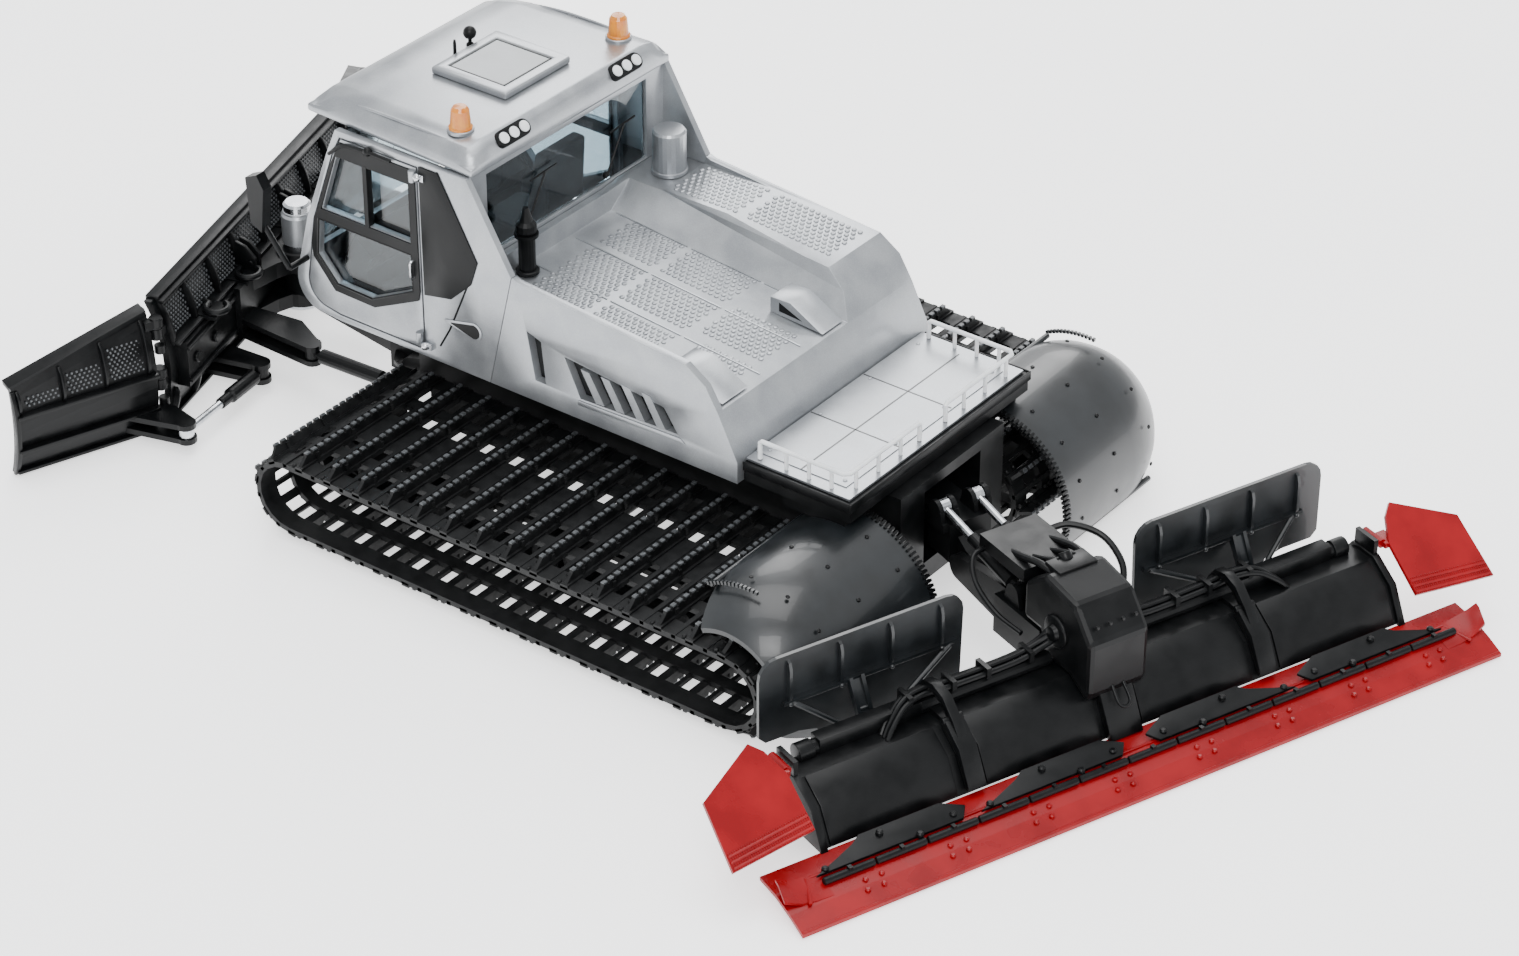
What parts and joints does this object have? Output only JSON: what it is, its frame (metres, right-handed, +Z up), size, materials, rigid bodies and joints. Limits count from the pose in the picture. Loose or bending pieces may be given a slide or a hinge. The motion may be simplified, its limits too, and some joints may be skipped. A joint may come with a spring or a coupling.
{
  "type": "scale model snowcat groomer",
  "caption": "Plastic scale model of a tracked snow groomer with a hollow cab, rear load bed, swinging front blade with folding wings and a rear tiller.",
  "frame": {"origin": "centre of the footprint box on the ground", "axes": "+X forward towards the blade, +Y to the left, +Z up"},
  "size_m": [0.6492, 0.3632, 0.1811],
  "materials": {
    "silver_plastic": "metallic silver plastic",
    "black_plastic": "satin black plastic",
    "dark_sheen_plastic": "dark plastic with a brushed sheen",
    "red_plastic": "glossy red plastic",
    "amber_plastic": "translucent amber plastic",
    "clear_plastic": "clear tinted plastic",
    "bright_rod": "bright plated plastic",
    "grey_plastic": "satin grey plastic"
  },
  "bodies": {
    "vehicle": {"chassis": "black_plastic", "track_left": "black_plastic", "track_right": "black_plastic", "rear_sprocket_axle": "black_plastic", "front_idler_axle": "black_plastic", "road_wheel_axle_1": "black_plastic", "road_wheel_axle_2": "black_plastic", "road_wheel_axle_3": "black_plastic", "fender_left": "dark_sheen_plastic", "fender_right": "dark_sheen_plastic", "cab_shell": "silver_plastic", "cab_roof": "silver_plastic", "roof_hatch": "grey_plastic", "windscreen": "clear_plastic", "rear_window": "clear_plastic", "driver_seat": "grey_plastic", "dashboard": "black_plastic", "engine_body": "silver_plastic", "exhaust_stack": "silver_plastic", "rear_post": "black_plastic", "rear_platform": "black_plastic", "platform_plate": "silver_plastic", "deck_railing_left": "silver_plastic", "deck_railing_right": "silver_plastic", "beacon_left": "amber_plastic", "beacon_right": "amber_plastic", "mirror_left": "black_plastic", "mirror_right": "black_plastic"},
    "door_left": {"door_left": "silver_plastic", "door_glass_left": "clear_plastic"},
    "door_right": {"door_right": "silver_plastic", "door_glass_right": "clear_plastic"},
    "blade_lift": {"blade_lift_frame": "black_plastic", "king_pin": "bright_rod"},
    "blade_swing": {"blade_swing_head": "black_plastic", "blade_main": "black_plastic"},
    "swing_barrel_left": {"swing_barrel_left": "black_plastic"},
    "swing_rod_left": {"swing_rod_left": "bright_rod"},
    "swing_barrel_right": {"swing_barrel_right": "black_plastic"},
    "swing_rod_right": {"swing_rod_right": "bright_rod"},
    "wing_left": {"blade_wing_left": "black_plastic"},
    "wing_right": {"blade_wing_right": "black_plastic"},
    "wing_barrel_left": {"wing_barrel_left": "black_plastic"},
    "wing_rod_left": {"wing_rod_left": "bright_rod"},
    "wing_barrel_right": {"wing_barrel_right": "black_plastic"},
    "wing_rod_right": {"wing_rod_right": "bright_rod"},
    "tiller_swing": {"tiller_carrier": "black_plastic"},
    "tiller_lift": {"tiller_arm": "black_plastic", "tiller_cover": "black_plastic", "tiller_gearbox": "black_plastic", "flap_left": "dark_sheen_plastic", "flap_right": "dark_sheen_plastic"},
    "rotor": {"tiller_rotor": "black_plastic"},
    "skirt": {"skirt": "red_plastic"},
    "finisher_left": {"side_finisher_left": "red_plastic"},
    "finisher_right": {"side_finisher_right": "red_plastic"},
    "tiller_barrels": {"tiller_barrel_left": "black_plastic", "tiller_barrel_right": "black_plastic"},
    "tiller_rods": {"tiller_rod_left": "bright_rod", "tiller_rod_right": "bright_rod"}
  },
  "joints": [
    {"name": "door_left_hinge", "type": "hinge", "parent": "vehicle", "child": "door_left", "pos_m": [0.09871, 0.03067, 0.1], "axis": [0, 0, 1], "range_deg": [0, 75]},
    {"name": "door_right_hinge", "type": "hinge", "parent": "vehicle", "child": "door_right", "pos_m": [0.09871, -0.10353, 0.1], "axis": [0, 0, -1], "range_deg": [0, 75]},
    {"name": "blade_lift_hinge", "type": "hinge", "parent": "vehicle", "child": "blade_lift", "pos_m": [0.14001, -0.03643, 0.026], "axis": [0, -1, 0], "range_deg": [0, 18]},
    {"name": "blade_swing_hinge", "type": "hinge", "parent": "blade_lift", "child": "blade_swing", "pos_m": [0.22951, -0.03643, 0.034], "axis": [0, 0, 1], "range_deg": [-37.3, 2.7]},
    {"name": "swing_barrel_left_hinge", "type": "hinge", "parent": "blade_swing", "child": "swing_barrel_left", "pos_m": [0.18791, 0.00298, 0.022], "axis": [0, 0, 1], "range_deg": [-4.09, 49.73]},
    {"name": "swing_rod_left_slide", "type": "slide", "parent": "swing_barrel_left", "child": "swing_rod_left", "axis": [-0.9985, -0.0544, 0], "range_m": [-0.00274, 0.03327]},
    {"name": "swing_barrel_right_hinge", "type": "hinge", "parent": "blade_swing", "child": "swing_barrel_right", "pos_m": [0.21765, -0.09249, 0.022], "axis": [0, 0, 1], "range_deg": [-3.86, 46.96]},
    {"name": "swing_rod_right_slide", "type": "slide", "parent": "swing_barrel_right", "child": "swing_rod_right", "axis": [-0.9734, 0.2291, 0], "range_m": [-0.0354, 0.00291]},
    {"name": "wing_left_fold", "type": "hinge", "parent": "blade_swing", "child": "wing_left", "pos_m": [0.22027, 0.06386, 0.03], "axis": [0, 0, -1], "range_deg": [-49, 11]},
    {"name": "wing_barrel_left_hinge", "type": "hinge", "parent": "blade_swing", "child": "wing_barrel_left", "pos_m": [0.20916, 0.01379, 0.01], "axis": [0, 0, 1], "range_deg": [-0.52, 2.23]},
    {"name": "wing_rod_left_slide", "type": "slide", "parent": "wing_barrel_left", "child": "wing_rod_left", "axis": [-0.1426, 0.9898, 0], "range_m": [-0.01644, 0.00385]},
    {"name": "wing_right_fold", "type": "hinge", "parent": "blade_swing", "child": "wing_right", "pos_m": [0.27886, -0.12423, 0.03], "axis": [0, 0, 1], "range_deg": [-31, 29]},
    {"name": "wing_barrel_right_hinge", "type": "hinge", "parent": "blade_swing", "child": "wing_barrel_right", "pos_m": [0.24127, -0.08932, 0.01], "axis": [0, 0, 1], "range_deg": [-1.68, 1.58]},
    {"name": "wing_rod_right_slide", "type": "slide", "parent": "wing_barrel_right", "child": "wing_rod_right", "axis": [0.4139, -0.9103, 0], "range_m": [-0.01057, 0.0099]},
    {"name": "tiller_swing_hinge", "type": "hinge", "parent": "vehicle", "child": "tiller_swing", "pos_m": [-0.11299, -0.03643, 0.046], "axis": [0, 0, 1], "range_deg": [-0.8, 42.2]},
    {"name": "tiller_lift_hinge", "type": "hinge", "parent": "tiller_swing", "child": "tiller_lift", "pos_m": [-0.14573, -0.02406, 0.034], "axis": [0.3535, 0.9354, 0], "range_deg": [0, 20]},
    {"name": "tiller_barrels_hinge", "type": "hinge", "parent": "tiller_lift", "child": "tiller_barrels", "pos_m": [-0.18315, -0.00992, 0.0455], "axis": [0.3535, 0.9354, 0], "range_deg": [-5.96, 0.06]},
    {"name": "tiller_rods_slide", "type": "slide", "parent": "tiller_barrels", "child": "tiller_rods", "axis": [0.9227, -0.3487, 0.1644], "range_m": [-0.0069, 0.00007]},
    {"name": "rotor_spin", "type": "hinge", "parent": "tiller_lift", "child": "rotor", "pos_m": [-0.21963, 0.00387, 0.0155], "axis": [0.3535, 0.9354, 0], "continuous": true},
    {"name": "skirt_hinge", "type": "hinge", "parent": "tiller_lift", "child": "skirt", "pos_m": [-0.23843, 0.01097, 0.009], "axis": [0.3535, 0.9354, 0], "range_deg": [0, 25]},
    {"name": "finisher_left_fold", "type": "hinge", "parent": "tiller_lift", "child": "finisher_left", "pos_m": [-0.16961, 0.13623, 0.036], "axis": [0.9354, -0.3535, 0], "range_deg": [0, 75]},
    {"name": "finisher_right_fold", "type": "hinge", "parent": "tiller_lift", "child": "finisher_right", "pos_m": [-0.26964, -0.1285, 0.036], "axis": [-0.9354, 0.3535, 0], "range_deg": [0, 75]}
  ],
  "couplings": [
    {"joint": "swing_barrel_left_hinge", "follows": "blade_swing_hinge", "ratio": -1.3192},
    {"joint": "swing_rod_left_slide", "follows": "blade_swing_hinge", "m_per_rad": -0.05057},
    {"joint": "swing_barrel_right_hinge", "follows": "blade_swing_hinge", "ratio": -1.2456},
    {"joint": "swing_rod_right_slide", "follows": "blade_swing_hinge", "m_per_rad": 0.05379},
    {"joint": "wing_barrel_left_hinge", "follows": "wing_left_fold", "ratio": -0.045},
    {"joint": "wing_rod_left_slide", "follows": "wing_left_fold", "m_per_rad": 0.019},
    {"joint": "wing_barrel_right_hinge", "follows": "wing_right_fold", "ratio": 0.0532},
    {"joint": "wing_rod_right_slide", "follows": "wing_right_fold", "m_per_rad": 0.01916},
    {"joint": "tiller_barrels_hinge", "follows": "tiller_lift_hinge", "ratio": -0.2949},
    {"joint": "tiller_rods_slide", "follows": "tiller_lift_hinge", "m_per_rad": -0.01958}
  ]
}
